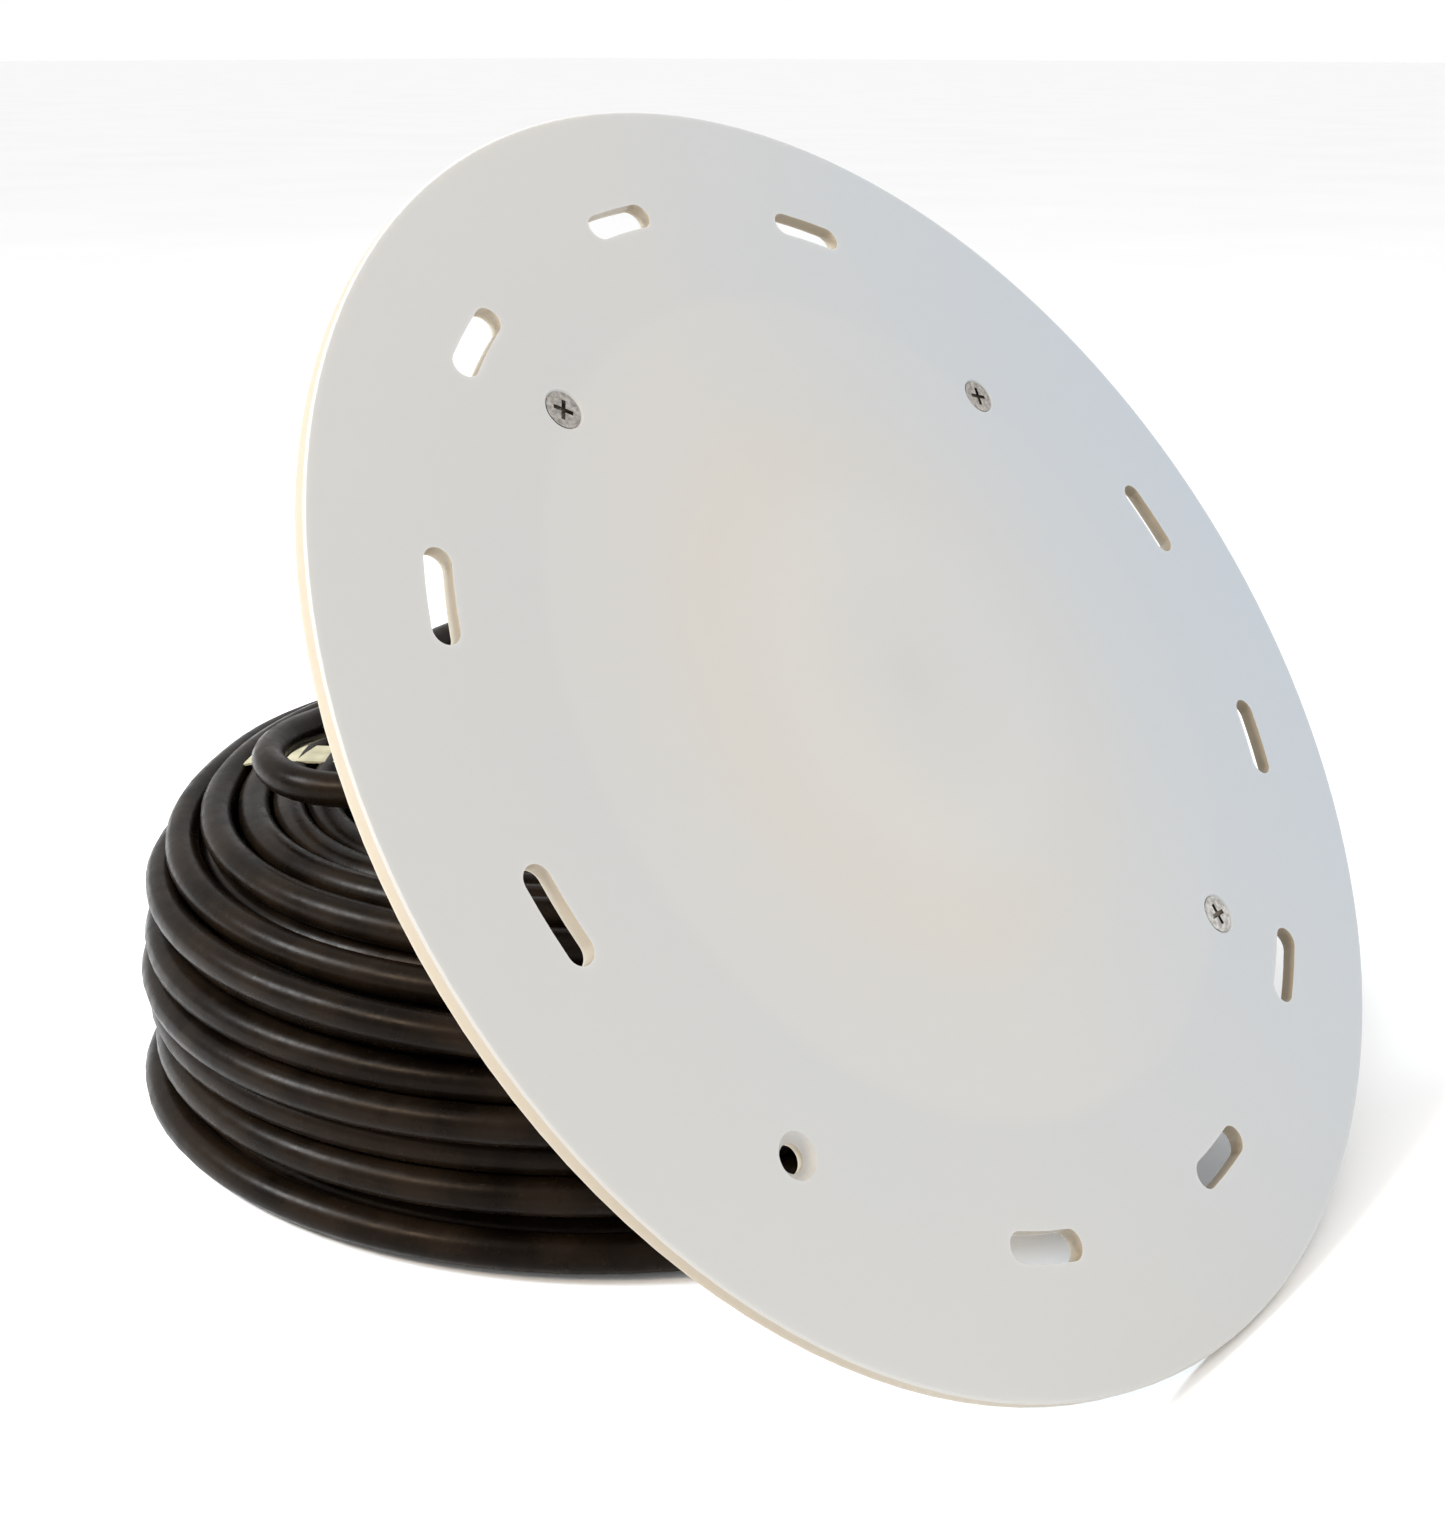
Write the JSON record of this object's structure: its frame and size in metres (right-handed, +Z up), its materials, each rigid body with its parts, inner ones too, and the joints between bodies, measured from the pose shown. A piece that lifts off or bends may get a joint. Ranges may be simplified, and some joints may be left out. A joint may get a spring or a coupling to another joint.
{
  "type": "underwater pool light",
  "caption": "Round translucent face plate with curved slots and countersunk screws over a sealed LED lamp, leaning on the round coil of its supply cable.",
  "frame": {"origin": "centre of the footprint of the lamp head, on the floor under it", "axes": "+Z up; +X along the face plate's horizontal diameter; the face looks towards -Y and up"},
  "size_m": [0.2834, 0.31, 0.2274],
  "materials": {
    "face": "translucent white sheet, satin",
    "housing": "moulded white",
    "steel": "stainless, turned",
    "insert": "turned brass",
    "clear": "clear polycarbonate",
    "seal": "moulded rubber",
    "reflector": "white reflective",
    "board_white": "white solder mask",
    "phosphor": "yellow phosphor",
    "spreader": "milled",
    "board_green": "green solder mask",
    "ferrite": "dark ferrite and epoxy",
    "can": "drawn can",
    "terminal": "green nylon",
    "gland": "black nylon",
    "boot": "black flexible boot",
    "jacket": "brown-black satin jacket",
    "strap": "pale flat strap",
    "core_black": "insulation",
    "core_white": "insulation",
    "core_green": "insulation",
    "copper": "stranded copper"
  },
  "bodies": {
    "root": {"faceplate": "face", "lamp_housing": "housing", "lens_ring": "housing", "faceplate_screws": "steel", "ring_screws": "steel", "board_screws": "steel", "ear_inserts": "insert", "lens": "clear", "lens_seal": "seal", "gland_oring": "seal", "gland_seal": "seal", "reflector": "reflector", "led_board": "board_white", "led_array": "phosphor", "led_chips": "phosphor", "heat_spreader": "spreader", "driver_board": "board_green", "driver_inductor": "ferrite", "driver_bridge": "ferrite", "driver_capacitors": "can", "terminal_block": "terminal", "gland_locknut": "gland", "gland_body": "gland", "gland_nut": "gland", "strain_relief": "boot", "cable_entry": "jacket", "cable_lead": "jacket", "cable_coil": "jacket", "cable_tail": "jacket", "coil_strap": "strap", "inner_core_black": "core_black", "tail_core_black": "core_black", "inner_core_white": "core_white", "tail_core_white": "core_white", "inner_core_green": "core_green", "tail_core_green": "core_green", "tail_conductors": "copper"}
  },
  "joints": []
}
